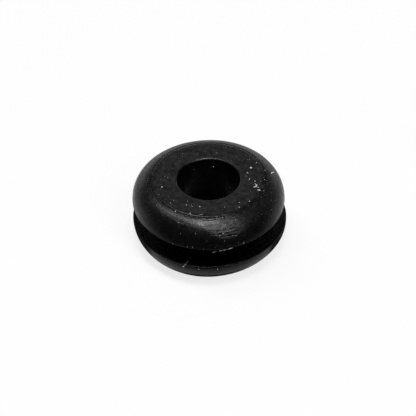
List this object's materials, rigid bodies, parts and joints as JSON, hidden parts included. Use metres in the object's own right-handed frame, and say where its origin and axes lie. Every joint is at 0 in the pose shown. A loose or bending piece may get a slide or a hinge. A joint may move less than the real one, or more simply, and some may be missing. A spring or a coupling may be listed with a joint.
{
  "type": "rubber grommet",
  "caption": "Moulded rubber ring with a thick rounded flange on each side of a panel groove and a straight bore that guards a cable.",
  "frame": {"origin": "centre of the bore, on the lower flange's flat face, which the part rests on", "axes": "+Z along the bore's axis, up through both flanges; the ring is a figure of revolution, so +X and +Y are any two square radii"},
  "size_m": [0.016, 0.016, 0.0078],
  "materials": {
    "rubber": "black moulded rubber, matt flat faces, satin roundings, fine mottle, a few dust specks and lint fibres"
  },
  "bodies": {
    "root": {"grommet": "rubber"}
  },
  "joints": []
}
